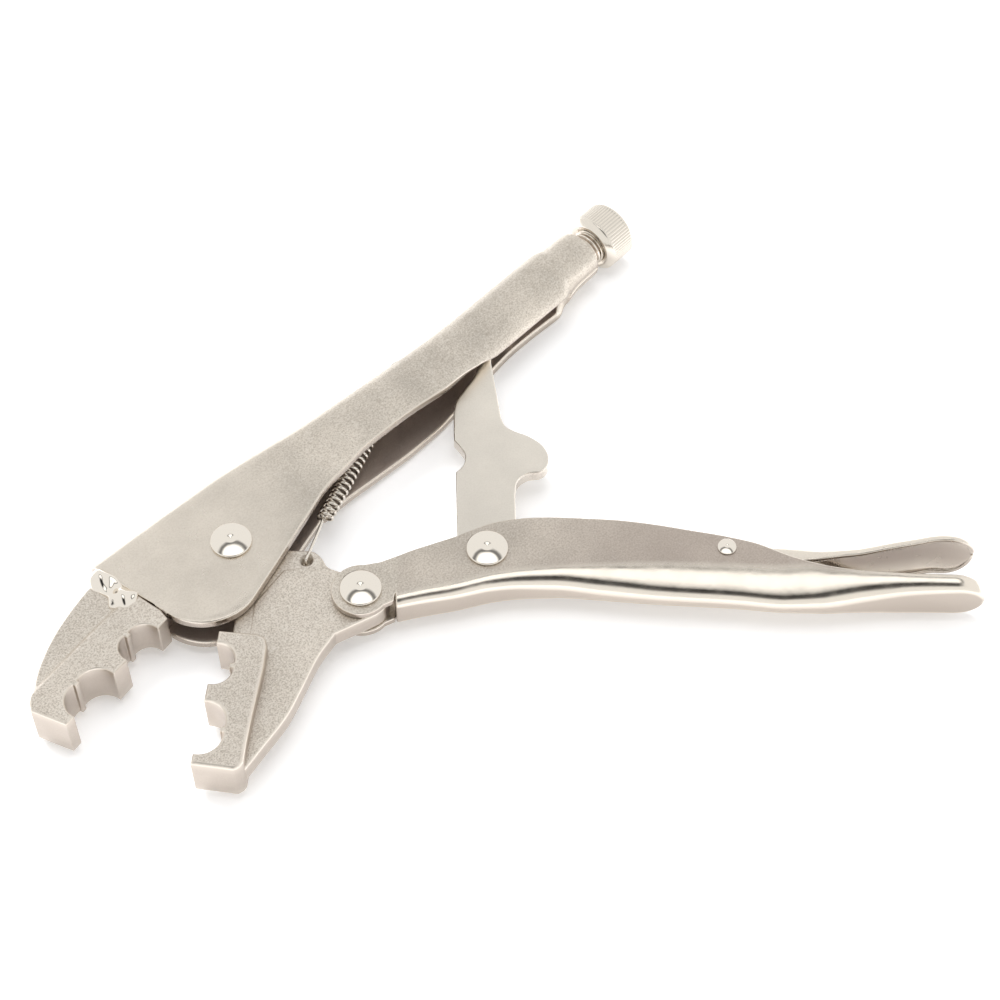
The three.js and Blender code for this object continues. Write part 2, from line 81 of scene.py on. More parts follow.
JOINTS = {joint["name"]: joint for joint in frame["joints"]}
JAW_PIVOT = Vector(JOINTS["jaw_pivot"]["pos_m"])
LOWER_PIVOT = Vector(JOINTS["handle_pivot"]["pos_m"])
JAW_OPENING = math.radians(28.5)
LOWER_ANGLE = math.radians(-47.5)


def drawing(origin, angle=0.0):
    return Matrix.Translation(origin) @ Matrix.Rotation(angle, 4, "Z") @ Matrix.Scale(0.001, 4)


HANDLE = drawing(JAW_PIVOT)
JAW = drawing(JAW_PIVOT, JAW_OPENING)
LOWER = drawing(LOWER_PIVOT, LOWER_ANGLE)

# Millimetres. A HALF is half of a thickness or width, measured from the middle plane.
SCREW_Y = 2.45
SCREW_AXIS = (0, SCREW_Y, 0)  # a point that it goes through
SCREW_RADIUS = 5.0
THREAD_PITCH = 1.25
THREAD_DEPTH = 0.8
ROD_START = 103.1
KNOB_FRONT = 135.6
KNOB_END = 145.1
KNOB_RADIUS = 8.0
KNURL_GROOVES = 60
KNURL_DEPTH = 0.16
UPPER_HALF = 5.6
TUBE_RADIUS = 8.0
TUBE_END = 131.9
UPPER_SHEET = 2.5
LOWER_SHEET = 2.0
LOWER_HALF = 5.0
LOWER_END = 149.9
LEVER_SHEET = 1.3
LEVER_END = 149.3
LINK_HALF = 1.9
BLOCK_HALF = 6.3
BACK_HALF = 4.5
SHANK_HALF = 2.7
HUB_HALF = 2.6
RIVET = (5.1, 3.0)  # radii of the head and the shank
SMALL_RIVET = (2.3, 1.3)
LINK_PIVOT = (30.4, 11.7)
LEVER_PIVOT = (88.8, 12.2)
SHUT_HANDLE_PIVOT = (-5.46, -34.36)
SHUT_HOOK_HOLE = (0.9, -18.7)


# ---- curves ----


def along(keys, x):
    """Smooth value at x, a number or an array, through a few (x, value) pairs."""
    kx, ky = (np.array(v, float) for v in zip(*keys))
    slope = np.diff(ky) / np.diff(kx)
    middle = (ky[2:] - ky[:-2]) / (kx[2:] - kx[:-2])
    tangent = np.concatenate([slope[:1], middle, slope[-1:]])
    x = np.clip(x, kx[0], kx[-1])
    i = np.clip(np.searchsorted(kx, x, side="right") - 1, 0, len(slope) - 1)
    span, t = kx[i + 1] - kx[i], (x - kx[i]) / (kx[i + 1] - kx[i])

    def gentle(m):
        limit = 3 * np.abs(slope[i])
        return np.where(m * slope[i] <= 0, 0, np.clip(m, -limit, limit))

    return (
        ky[i] * (1 + 2 * t) * (1 - t) ** 2
        + gentle(tangent[i]) * span * t * (1 - t) ** 2
        + ky[i + 1] * t * t * (3 - 2 * t)
        + gentle(tangent[i + 1]) * span * t * t * (t - 1)
    )


def smooth(low, high, x):
    t = np.clip((x - low) / (high - low), 0, 1)
    return t * t * (3 - 2 * t)


def arc(centre, radius, start, end, steps):
    """Points on an arc, angles in degrees."""
    a = np.radians(np.linspace(start, end, steps + 1))
    return [(centre[0] + radius * math.cos(t), centre[1] + radius * math.sin(t)) for t in a]


def curve_through(points, steps=6):
    """Catmull-Rom curve through points."""
    p = [np.array(q, float) for q in points]
    p = [2 * p[0] - p[1], *p, 2 * p[-1] - p[-2]]
    found = []
    for a, b, c, d in zip(p, p[1:], p[2:], p[3:]):
        for t in np.linspace(0, 1, steps, endpoint=False):
            v = 2 * b + (c - a) * t + (2 * a - 5 * b + 4 * c - d) * t**2 + (3 * b - a - 3 * c + d) * t**3
            found.append(tuple(v / 2))
    return [*found, tuple(p[-2])]


def rounded(points, radius):
    """The closed outline with each sharp corner replaced by a small arc."""
    found = []
    for a, b, c in zip(points[-1:] + points[:-1], points, points[1:] + points[:1]):
        a, b, c = (np.array(v, float) for v in (a, b, c))
        u, v = a - b, c - b
        lu, lv = np.linalg.norm(u), np.linalg.norm(v)
        if lu < 1e-6 or lv < 1e-6:
            continue
        bend = math.pi - math.acos(np.clip(np.dot(u, v) / lu / lv, -1, 1))
        if bend < 0.35:
            found.append(tuple(b))
            continue
        cut = min(radius * math.tan(bend / 2), 0.45 * lu, 0.45 * lv)
        for t in np.linspace(0, 1, 5):
            q = (1 - t) ** 2 * (b + u / lu * cut) + 2 * t * (1 - t) * b + t * t * (b + v / lv * cut)
            found.append(tuple(q))
    return found


def resampled(points, step):
    found = []
    for a, b in zip(points, points[1:] + points[:1]):
        count = max(1, math.ceil(math.dist(a, b) / step))
        for t in np.arange(count) / count:
            found.append((a[0] + (b[0] - a[0]) * t, a[1] + (b[1] - a[1]) * t))
    return found


# ---- pieces ----


def piece(name, parts, at, body, material, nodes):
    """One object from (vertices, faces, {attribute: values}) parts in the millimetres of a drawing. It
    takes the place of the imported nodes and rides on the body, if one is given."""
    vertices = np.concatenate([part[0] for part in parts])
    faces, start = [], 0
    for points, part_faces, _ in parts:
        faces += [[i + start for i in face] for face in part_faces]
        start += len(points)
    mesh = bpy.data.meshes.new(name)
    mesh.from_pydata([tuple(v) for v in vertices], [], faces)
    mesh.transform(at)
    for key in ("polish", "inner"):
        values = [np.broadcast_to(part[2].get(key, 0.0), len(part[0])) for part in parts]
        layer = mesh.attributes.new(key, "FLOAT", "POINT")
        layer.data.foreach_set("value", np.concatenate(values).astype(np.float32))
    mesh.shade_smooth()
    mesh.materials.append(material)
    made = bpy.data.objects.new(name, mesh)
    bpy.context.scene.collection.objects.link(made)
    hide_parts(*nodes)
    if body:
        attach(made, body)
    return made


def level(z):
    """A flat face at height z, for relief."""
    return lambda x, y: np.full_like(x, z)


def edge_distance(points, outline):
    """Distance of each point from the closed outline."""
    a = np.array(outline)
    ab = np.roll(a, -1, axis=0) - a
    best = np.full(len(points), np.inf)
    for p, d in zip(a, ab):
        t = np.clip((points - p) @ d / (d @ d), 0, 1)
        best = np.minimum(best, np.linalg.norm(points - p - t[:, None] * d, axis=1))
    return best


EDGE_ROWS = (0.1, 0.35, 0.68, 1.0)  # rows of points across a rounded edge, as shares of its radius
WALL_LEVELS = 3


def relief(outline, top, bottom=None, *, edge, pitch, corner=0.35):
    """Closed plate with an outline, a rounded edge and faces at z = top(x, y) and bottom(x, y), which
    mirrors the top unless it is given. The points on its faces lie about pitch apart."""
    loop = resampled(rounded(outline, corner), pitch * 0.8)
    ring = np.array(loop)
    area = np.sum(ring[:, 0] * np.roll(ring[:, 1], -1) - ring[:, 1] * np.roll(ring[:, 0], -1))
    if area < 0:
        loop = loop[::-1]
        ring = ring[::-1]
    tangent = np.roll(ring, -1, axis=0) - np.roll(ring, 1, axis=0)
    tangent /= np.linalg.norm(tangent, axis=1)[:, None]
    inward = np.stack([-tangent[:, 1], tangent[:, 0]], axis=1)
    low, high = ring.min(0), ring.max(0)
    gx, gy = np.meshgrid(np.arange(low[0], high[0], pitch), np.arange(low[1], high[1], pitch * 0.87))
    gx = gx + (np.arange(gx.shape[0]) % 2)[:, None] * pitch / 2
    grid = np.stack([gx.ravel(), gy.ravel()], axis=1)
    inner = [grid[edge_distance(grid, loop) > edge + pitch * 0.35]]
    for share in EDGE_ROWS:
        rows = ring + inward * edge * share
        inner.append(rows[edge_distance(rows, loop) > edge * share * 0.93])
    points = [Vector(p) for p in np.concatenate([ring, *inner])]
    count = len(ring)
    edges = [(i, (i + 1) % count) for i in range(count)]
    found = delaunay_2d_cdt(points, edges, [list(range(count))], 1, 1e-5)
    flat, triangles, origin = np.array([tuple(v) for v in found[0]]), found[2], found[3]
    place = {source: i for i, sources in enumerate(origin) for source in sources}
    rim = [place[i] for i in range(count)]
    distance = edge_distance(flat, loop)
    distance[rim] = 0
    inside = np.clip(1 - distance / edge, 0, 1)
    drop = edge * (1 - np.sqrt(1 - inside**2))
    face = top(flat[:, 0], flat[:, 1])
    high_z = face - drop
    low_z = (bottom(flat[:, 0], flat[:, 1]) if bottom else -face) + drop
    n = len(flat)
    vertices = [np.column_stack([flat, high_z]), np.column_stack([flat, low_z])]
    # Rounded edges count as polished, so they are also painted lighter: a painted highlight.
    polish = [0.75 * inside**0.5, 0.75 * inside**0.5]
    faces = [tuple(t) for t in triangles] + [tuple(n + i for i in reversed(t)) for t in triangles]
    for step in range(1, WALL_LEVELS):
        t = step / WALL_LEVELS
        z = high_z[rim] * (1 - t) + low_z[rim] * t
        vertices.append(np.column_stack([flat[rim], z]))
        polish.append(np.full(count, 0.55))
    rows = [rim] + [[2 * n + k * count + i for i in range(count)] for k in range(WALL_LEVELS - 1)]
    rows.append([n + i for i in rim])
    for upper, lower in zip(rows, rows[1:]):
        for i in range(count):
            k = (i + 1) % count
            faces.append((upper[i], lower[i], lower[k], upper[k]))
    return np.concatenate(vertices), faces, {"polish": np.concatenate(polish)}


def unit(v):
    return v / np.maximum(np.linalg.norm(v, axis=-1, keepdims=True), 1e-12)


def window_walls(number, total, window):
    """Walls of a rectangular window through a sheet, between its outer and inner grids."""
    top, bottom, left, right = window
    ring = [number[top, j] for j in range(left, right)]
    ring += [number[i, right] for i in range(top, bottom)]
    ring += [number[bottom, j] for j in range(right, left, -1)]
    ring += [number[i, left] for i in range(bottom, top, -1)]
    return [(a, b, b + total, a + total) for a, b in zip(ring, ring[1:] + ring[:1])]


def sheet(middle, thickness, polish, inner, edge, inside=0.25, window=None, outside_darkening=0.0):
    """Closed sheet round a middle surface, a grid of points, with rounded rims. Its outside is on the
    side of rows x columns. inner darkens its inside, partly duller plating and partly painted shade,
    and the last darkening amount darkens its outside; inside is the share of the polished finish and
    painted highlight that the inside has, and window leaves out a block of cells, from row to row and
    from column to column."""
    rows, columns = middle.shape[:2]
    du = np.gradient(middle, axis=0)
    dv = np.gradient(middle, axis=1)
    normal = unit(np.cross(du, dv))
    half = np.broadcast_to(np.asarray(thickness, float) / 2, rows)[:, None, None]
    outer_grid = (middle + normal * half).reshape(-1, 3)
    inner_grid = (middle - normal * half).reshape(-1, 3)
    number = np.arange(rows * columns).reshape(rows, columns)
    kept = np.ones((rows - 1, columns - 1), bool)
    if window:
        kept[window[0] : window[1], window[2] : window[3]] = False
    a, b = number[:-1, :-1][kept], number[1:, :-1][kept]
    c, d = number[1:, 1:][kept], number[:-1, 1:][kept]
    total = rows * columns
    faces = list(zip(a, b, c, d))
    faces += [(i + total, l + total, k + total, j + total) for i, j, k, l in zip(a, b, c, d)]
    if window:
        faces += window_walls(number, total, window)
    border = (
        [(i, 0) for i in range(rows)]
        + [(rows - 1, j) for j in range(1, columns)]
        + [(i, columns - 1) for i in range(rows - 2, -1, -1)]
        + [(0, j) for j in range(columns - 2, 0, -1)]
    )
    out = np.zeros_like(middle)
    out[:, 0] -= unit(dv[:, 0])
    out[:, -1] += unit(dv[:, -1])
    out[0] -= unit(du[0])
    out[-1] += unit(du[-1])
    centre = np.array([middle[p] for p in border])
    side = unit(np.array([out[p] for p in border]))
    lift = np.array([normal[p] for p in border])
    depth = np.array([half[p[0], 0, 0] for p in border])[:, None]
    radius = np.minimum(edge, depth * 0.9)
    chains = []
    for sign, angle in ((1, 30), (1, 60), (1, 90), (-1, 90), (-1, 60), (-1, 30)):
        t = math.radians(angle)
        height = depth - radius + radius * math.cos(t)
        chains.append(centre + sign * lift * height + side * radius * math.sin(t))
    count = len(border)
    first = 2 * total
    lines = [[number[p] for p in border]]
    lines += [[first + k * count + i for i in range(count)] for k in range(len(chains))]
    lines.append([number[p] + total for p in border])
    for upper, lower in zip(lines, lines[1:]):
        for i in range(count):
            k = (i + 1) % count
            faces.append((upper[k], upper[i], lower[i], lower[k]))
    vertices = np.concatenate([outer_grid, inner_grid, *chains])
    shine = np.broadcast_to(polish, (rows, columns)).ravel()
    shade = np.broadcast_to(inner, (rows, columns)).ravel()
    outside_darkening = np.broadcast_to(outside_darkening, (rows, columns)).ravel()
    rim = np.full(count * len(chains), 0.7)
    return vertices, faces, {
        "polish": np.concatenate([shine, inside * shine, rim]),
        "inner": np.concatenate([outside_darkening, shade, np.zeros(len(rim))]),
    }


def turned(profile, sides, axis="Z", offset=(0, 0, 0), ripple=None, polish=0.8, shade=0.0):
    """Solid of revolution from (height, radius) pairs that start and end at radius 0. A ripple adds to
    the radius, and shade paints its valleys darker, a painted shade."""
    angles = np.arange(sides) * 2 * math.pi / sides
    vertices, faces, valleys = [], [], []
    for height, radius in profile[1:-1]:
        lift = np.broadcast_to(ripple(height, angles) if ripple else 0.0, sides)
        grow = radius + lift
        valleys.append(np.clip(-lift * shade, 0, 1))
        ring = [grow * np.cos(angles), grow * np.sin(angles), np.full(sides, height)]
        vertices.append(np.column_stack(ring))
    rings = len(profile) - 2
    vertices.append(np.array([[0, 0, profile[0][0]], [0, 0, profile[-1][0]]], float))
    for r in range(rings - 1):
        for i in range(sides):
            k = (i + 1) % sides
            faces.append((r * sides + i, r * sides + k, (r + 1) * sides + k, (r + 1) * sides + i))
    low, high = rings * sides, rings * sides + 1
    for i in range(sides):
        k = (i + 1) % sides
        faces.append((low, k, i))
        faces.append((high, (rings - 1) * sides + i, (rings - 1) * sides + k))
    vertices = np.concatenate(vertices)
    if axis == "X":
        vertices = vertices[:, [2, 0, 1]]
    inner = np.concatenate([*valleys, np.zeros(2)])
    return vertices + np.array(offset, float), faces, {"polish": polish, "inner": inner}


def tube(points, radius, sides, polish=0.6):
    """Closed round wire along a list of points."""
    p = np.array(points, float)
    tangent = unit(np.gradient(p, axis=0))
    side = unit(np.cross(tangent[0], (0.3, 0.2, 1.0)))
    sides_at = []
    for t in tangent:
        side = unit(side - t * (side @ t))
        sides_at.append(side)
    sides_at = np.array(sides_at)
    other = np.cross(tangent, sides_at)
    angles = np.arange(sides) * 2 * math.pi / sides
    c, s = np.cos(angles)[None, :, None], np.sin(angles)[None, :, None]
    rings = p[:, None] + radius * (c * sides_at[:, None] + s * other[:, None])
    n = len(p)
    faces = []
    for r in range(n - 1):
        for i in range(sides):
            k = (i + 1) % sides
            faces.append((r * sides + i, r * sides + k, (r + 1) * sides + k, (r + 1) * sides + i))
    faces.append(tuple(reversed(range(sides))))
    faces.append(tuple((n - 1) * sides + i for i in range(sides)))
    return rings.reshape(-1, 3), faces, {"polish": polish}


# ---- materials ----


def node(tree, kind, inputs=None, **settings):
    made = tree.nodes.new(kind)
    for key, value in settings.items():
        setattr(made, key, value)
    for key, value in (inputs or {}).items():
        if isinstance(value, bpy.types.NodeSocket):
            tree.links.new(value, made.inputs[key])
        else:
            made.inputs[key].default_value = value
    return made


def spread(tree, value, low, high, a, b):
    """value mapped from low..high to a..b."""
    inputs = {"Value": value, "From Min": low, "From Max": high, "To Min": a, "To Max": b}
    return node(tree, "ShaderNodeMapRange", inputs).outputs["Result"]


def mixed(tree, factor, a, b):
    """Colour a at factor 0 and b at factor 1. Inputs 6 and 7 and output 2 are the node's colours."""
    return node(tree, "ShaderNodeMix", {0: factor, 6: a, 7: b}, data_type="RGBA").outputs[2]


def times(tree, a, b):
    return node(tree, "ShaderNodeMath", {0: a, 1: b}, operation="MULTIPLY").outputs[0]


PIT_SHARES = (0.42, 0.38, 0.34)  # of the tint
PEAK_COLOUR = (0.95, 0.92, 0.87, 1)
# painted shade for upright faces, standing for the shadowed floor that they mirror
PAINTED_SIDE_SHADE = (0.36, 0.30, 0.26, 1)
# mixed in by the inner attribute: duller plating and painted shade inside the channels, painted shade in
# thread and knurl valleys, on the rod inside the tube and in the lever's tail, and the darker matt walls of
# the lower handle
INSIDE_DULL_AND_SHADE_COLOUR = (0.42, 0.345, 0.305, 1)


def nickel(name, matt, bright, grain, tint, blotch, pitted, pits_per_metre=3000.0, side=0.4):
    """Plated steel: matt is the roughness of its blasted faces, bright that of its polished edges,
    grain the depth of the blasting in micrometres, blotch the depth of its clouds, pitted how far its
    pits darken it and its peaks lighten it, and side how far its upright faces are painted darker, a
    painted shade. How polished a point is runs from blasted at 0 to polished at 1, and polished points
    are also painted lighter, a painted highlight; inner darkens it towards the inside colour, partly
    duller plating and partly painted shade."""
    material = bpy.data.materials.new(name)
    material.use_nodes = True
    tree = material.node_tree
    shader = tree.nodes["Principled BSDF"]
    coordinates = tree.nodes.new("ShaderNodeTexCoord")
    place = coordinates.outputs["Object"]

    def noise(scale, detail=3.0, rough=0.55):
        inputs = {"Vector": place, "Scale": scale, "Detail": detail, "Roughness": rough}
        return node(tree, "ShaderNodeTexNoise", inputs).outputs["Fac"]

    polish = node(tree, "ShaderNodeAttribute", attribute_name="polish").outputs["Fac"]
    inner = node(tree, "ShaderNodeAttribute", attribute_name="inner").outputs["Fac"]
    cloud = noise(48.0, 5.0)
    speck = noise(pits_per_metre, 3.0, 0.65)
    dark = tuple(c * (1 - 2.2 * blotch) for c in tint)
    colour = mixed(tree, spread(tree, cloud, 0.35, 0.68, 0.0, 1.0), (*tint, 1), (*dark, 1))
    matt_share = spread(tree, polish, 0.1, 0.7, 1.0, 0.15)
    pits = times(tree, spread(tree, speck, 0.46, 0.66, 0.0, pitted), matt_share)
    colour = mixed(tree, pits, colour, (*(c * share for c, share in zip(tint, PIT_SHARES)), 1))
    peaks = times(tree, spread(tree, speck, 0.46, 0.30, 0.0, pitted * 0.8), matt_share)
    colour = mixed(tree, peaks, colour, PEAK_COLOUR)
    # Polished points are painted lighter, a painted highlight.
    painted_highlight_tint = tuple(min(1.0, c * 1.12) for c in tint)
    colour = mixed(tree, spread(tree, polish, 0.15, 1.0, 0.0, 0.8), colour, (*painted_highlight_tint, 1))
    # Upright faces are painted darker: a painted shade.
    facing = node(tree, "ShaderNodeSeparateXYZ", {"Vector": coordinates.outputs["Normal"]}).outputs["Z"]
    facing = node(tree, "ShaderNodeMath", {0: facing}, operation="ABSOLUTE").outputs[0]
    colour = mixed(tree, spread(tree, facing, 0.05, 0.45, side, 0.0), colour, PAINTED_SIDE_SHADE)
    # The inside colour is mixed in where inner is set: painted shade, with duller plating inside the
    # channels.
    colour = mixed(tree, inner, colour, INSIDE_DULL_AND_SHADE_COLOUR)
    tree.links.new(colour, shader.inputs["Base Color"])
    wander = spread(tree, noise(240.0, 4.0), 0.3, 0.7, -0.05, 0.05)
    smoothness = spread(tree, polish, 0.0, 1.0, matt, bright)
    rough = node(tree, "ShaderNodeMath", {0: smoothness, 1: wander}, operation="ADD").outputs[0]
    tree.links.new(rough, shader.inputs["Roughness"])
    tree.links.new(spread(tree, inner, 0.5, 1.0, 1.0, 0.55), shader.inputs["Metallic"])
    strength = spread(tree, polish, 0.0, 0.8, 1.0, 0.25)
    coarse = times(tree, noise(pits_per_metre * 0.8, 3.0, 0.7), strength)
    bump = {"Strength": 1.0, "Distance": grain * 1e-6, "Height": coarse}
    bumped = node(tree, "ShaderNodeBump", bump).outputs["Normal"]
    ripple = {"Strength": 1.0, "Distance": 1.4e-4, "Height": noise(95.0, 3.0, 0.5), "Normal": bumped}
    tree.links.new(node(tree, "ShaderNodeBump", ripple).outputs["Normal"], shader.inputs["Normal"])
    return material


SHEET_METAL = nickel(
    "nickel_sheet_metal", matt=0.42, bright=0.20, grain=18.0, tint=(0.82, 0.755, 0.665),
    blotch=0.13, pitted=0.5, pits_per_metre=2300.0, side=0.7,
)
FORGED_METAL = nickel(
    "nickel_forged", matt=0.44, bright=0.34, grain=36.0, tint=(0.84, 0.775, 0.69),
    blotch=0.06, pitted=0.62, pits_per_metre=2500.0, side=0.62,
)
LINK_METAL = nickel(
    "nickel_plate", matt=0.36, bright=0.22, grain=5.0, tint=(0.86, 0.81, 0.73), blotch=0.05, pitted=0.08,
)
BRIGHT_METAL = nickel(
    "nickel_bright", matt=0.14, bright=0.07, grain=1.5, tint=(0.80, 0.75, 0.675),
    blotch=0.02, pitted=0.0, side=0.15,
)
SCREW_METAL = nickel(
    "nickel_turned", matt=0.30, bright=0.14, grain=3.0, tint=(0.78, 0.73, 0.65),
    blotch=0.03, pitted=0.05, side=0.3,
)


# ---- upper handle ----

# (x, value) keys along the handle. TOP is the free edge on the visible side and BOTTOM the one beside
# the floor: the Y of each, and the degrees that its lip curls in.
SPINE = [(-30, 21.1), (-8, 19.9), (14, 18), (26, 16.2), (38, 14.3), (62, 12.1), (80, 10.7), (92, 10.45)]
UPPER_WIDTH = [(5, UPPER_HALF), (35, 6.6), (60, 7.6), (85, TUBE_RADIUS), (115, TUBE_RADIUS),
               (119, 7.95), (122.5, 7.3), (126, 7.05), (130, 6.95), (TUBE_END, 6.75)]
UPPER_CORNER = [(10, 4), (35, 5.2), (60, 7.2), (90, TUBE_RADIUS)]
TOP_EDGE = [(24, -5.8), (29, -4.9), (35, -4.5), (42, -3.8), (48, -4.0), (58, -4.8), (70, -6.3),
            (78, -5.9), (88, -5.5), (117, -5.5)]
BOTTOM_EDGE = [(24, -6.3), (31.5, -6.0), (42, -6.6), (55, -7.3), (65, -7.2), (71, -6.6), (80, -5.3),
               (90, -4.0), (98, -3.3), (106, -3.4), (117, -4.0)]
TOP_CURL = [(62, 0), (72, 16), (82, 46), (89, 68), (115, 70), (119.5, 84)]
BOTTOM_CURL = [(62, 0), (72, 8), (82, 14), (114, 16), (117, 40), (119.5, 86)]
HOOK_SLOT = (64.0, 69.5)
SLOT_COLUMNS = 5  # on each side of the web's middle line
FRONT_X = -27.1
LOBE = ((-11, -2), 13.8)
FAN_END = 24.0
FAN_END_Y = -5.95
THINNED_FROM = 110.0  # the sheet is thinner where it is drawn round the screw
BORE_RADIUS = 5.2
TUBE_FROM = (84, 96)
CLOSED_FROM = (115.5, 119.5)


def round_corner(deep, wide, steps):
    """(depth, width) pairs of a quarter ellipse."""
    a = np.linspace(0, math.pi / 2, steps + 1)
    return np.column_stack([deep * (1 - np.cos(a)), wide * np.sin(a)])


def rolled_corner(deep, wide, steps):
    """Corner that turns tightly beside the web and slowly into the wall."""
    knee = math.radians(66)
    c, s = math.cos(knee), math.sin(knee)
    tight, slow = np.linalg.solve([[1 - c, c], [s, 1 - s]], [deep, wide])
    a = np.linspace(0, math.pi / 2, steps + 1)
    early, late = np.minimum(a, knee), np.maximum(a, knee)
    depth = tight * (1 - np.cos(early)) + slow * (c - np.cos(late))
    return np.column_stack([depth, tight * np.sin(early) + slow * (np.sin(late) - s)])


def channel_side(half, deep, wide, edge, curl, corner_steps, wall_steps, corner_shape=round_corner):
    """(depth, width) pairs from the middle of a channel's web to one free edge."""
    flat = max(half - wide, 0.15)
    corner = corner_shape(deep, half - flat, corner_steps) + (0, flat)
    turn = max(curl, 1e-3)
    lip = max(half * math.sin(turn), (edge - deep) / 2)
    start = max(edge - lip, deep + 0.2)
    rise = np.linspace(deep, start, wall_steps + 1)[1:-1]
    wall = np.column_stack([rise, np.full(len(rise), half)])
    b = np.linspace(0, turn, wall_steps + 1)
    bent = np.column_stack([start + (edge - start) * np.sin(b) / math.sin(turn), half * np.cos(b)])
    web = np.column_stack([np.zeros(3), np.linspace(0, flat, 4)[:3]])
    return np.concatenate([web, corner, wall, bent])


CORNER_STEPS = 12
WALL_STEPS = 9
WEB_POINTS = 3 + CORNER_STEPS + 1


def upper_section(x):
    """Middle line of the upper handle at x, from its lower free edge to its upper one, and the
    thickness of its sheet there."""
    outer = float(along(UPPER_WIDTH, x))
    inset = UPPER_SHEET / 2 if x < THINNED_FROM else min(UPPER_SHEET, outer - BORE_RADIUS) / 2
    half = outer - inset
    tube_share, closed = float(smooth(*TUBE_FROM, x)), float(smooth(*CLOSED_FROM, x))
    spine = float(along(SPINE, x)) * (1 - tube_share) + (SCREW_Y + outer) * tube_share
    deep = float(along(UPPER_CORNER, x)) * (1 - tube_share) + outer * tube_share - inset
    sides = []
    for keys, curls in ((BOTTOM_EDGE, BOTTOM_CURL), (TOP_EDGE, TOP_CURL)):
        curl = math.radians(float(along(curls, x)))
        lowest = float(along(keys, x)) * (1 - closed) + (SCREW_Y - half * math.sin(curl)) * closed
        crest = spine - inset
        found = channel_side(half, deep, deep, crest - lowest, curl, CORNER_STEPS, WALL_STEPS)
        sides.append(np.column_stack([np.full(len(found), x), crest - found[:, 0], found[:, 1]]))
    bottom, top = sides
    bottom = bottom * (1, 1, -1)
    return np.concatenate([bottom[::-1], top[1:]]), 2 * inset


def lobe_path(steps):
    """The edge of the handle round the jaws, from its front corner to the start of the free edges."""
    centre, radius = LOBE
    centre = np.array(centre, float)
    end = np.array((FAN_END, FAN_END_Y))
    span = np.linalg.norm(end - centre)
    tangent = math.atan2(*(end - centre)[::-1]) - math.acos(radius / span)
    angles = np.linspace(-math.pi, tangent, 200)
    ring = centre + radius * np.column_stack([np.cos(angles), np.sin(angles)])
    line = ring[-1] + (end - ring[-1]) * np.linspace(0, 1, 100)[1:, None]
    path = np.concatenate([ring, line])
    length = np.concatenate([[0], np.cumsum(np.linalg.norm(np.diff(path, axis=0), axis=1))])
    at = np.linspace(0, length[-1], steps)
    return np.column_stack([np.interp(at, length, path[:, 0]), np.interp(at, length, path[:, 1])])


def upper_fan(steps):
    """Sections of the front of the upper handle, which swing round from its slanted front edge."""
    found = []
    edge_points = lobe_path(steps)
    tops = np.linspace(FRONT_X, FAN_END, steps)
    for x, (ex, ey) in zip(tops, edge_points):
        section, _ = upper_section(x)
        middle = len(section) // 2
        for side in (slice(middle, None), slice(middle, None, -1)):
            line = section[side].copy()
            wall = line[WEB_POINTS - 1 :]
            share = np.linspace(0, 1, len(wall))[:, None]
            start = wall[0, :2].copy()
            wall[:, :2] = start + (np.array((ex, ey)) - start) * share
            wall[:, 2] = np.sign(wall[-1, 2]) * (along(UPPER_WIDTH, wall[:, 0]) - UPPER_SHEET / 2)
            section[side] = line
        found.append(section)
    return found


def upper_handle():
    front = upper_fan(70)
    neck = 118
    rear_x = np.linspace(FAN_END, neck, 110)[1:], np.linspace(neck, TUBE_END - 0.6, 26)[1:]
    rear_x = np.concatenate(rear_x)
    rear = [upper_section(x) for x in rear_x]
    middle = np.array(front + [r[0] for r in rear])
    thickness = np.array([UPPER_SHEET] * len(front) + [r[1] for r in rear])
    web_share = smooth(5.5, 4.2, np.abs(middle[..., 2])) * smooth(60, 30, middle[..., 0])
    polish = 0.45 * web_share + 0.06
    middle, polish = middle[:, ::-1], polish[:, ::-1]
    web = middle.shape[1] // 2
    rows = np.searchsorted(rear_x, HOOK_SLOT) + len(front)
    window = (rows[0], rows[1], web - SLOT_COLUMNS, web + SLOT_COLUMNS)
    # The inside of the channel takes the inside colour: painted shade with duller plating.
    part = sheet(middle, thickness, polish, 0.85, edge=0.55, window=window)
    nodes = ["upper_handle"]
    piece("upper_handle_sheet", [part], HANDLE, "upper", SHEET_METAL, nodes)


# ---- jaws ----

TOOTH_START = (-61.6, -9.8)
TOOTH_SLOPE = math.radians(7.8)
TOOTH_LENGTH = 36.4
# Where each notch starts and ends along the teeth, its corner radius, where its rib is, its depth.
NOTCHES = [(2.9, 16.9, 5.3, 9.9, 6.0), (21.7, 32.8, 4.3, 27.2, 5.05)]
RIB_HALF = 0.75
RIB_DROP = 0.9


def tooth_edge(side, gap):
    """The toothed edge of a jaw, tip first, gap mm back from where the jaws meet: side is 1 for the
    fixed jaw and -1 for the movable one."""
    points = [(0, 0)]
    for start, end, radius, rib, depth in NOTCHES:
        rise = depth - radius
        left, right = start + radius, end - radius
        inner_left = math.degrees(math.acos((rib - RIB_HALF - left) / radius))
        inner_right = math.degrees(math.acos((rib + RIB_HALF - right) / radius))
        points += [(start, 0), *arc((left, rise), radius, 180, inner_left, 14)]
        points += [(rib - RIB_HALF, depth - RIB_DROP), (rib + RIB_HALF, depth - RIB_DROP)]
        points += [*arc((right, rise), radius, inner_right, 0, 14), (end, 0)]
    points.append((TOOTH_LENGTH, 0))
    c, s = math.cos(TOOTH_SLOPE), math.sin(TOOTH_SLOPE)
    x, y = TOOTH_START
    return [(x + p * c - side * (d + gap) * s, y + p * s + side * (d + gap) * c) for p, d in points]


def from_line(a, b):
    """Signed distance from the line a-b, positive on its left."""
    d = np.array(b, float) - a
    d /= np.linalg.norm(d)
    return lambda x, y: d[0] * (y - a[1]) - d[1] * (x - a[0])


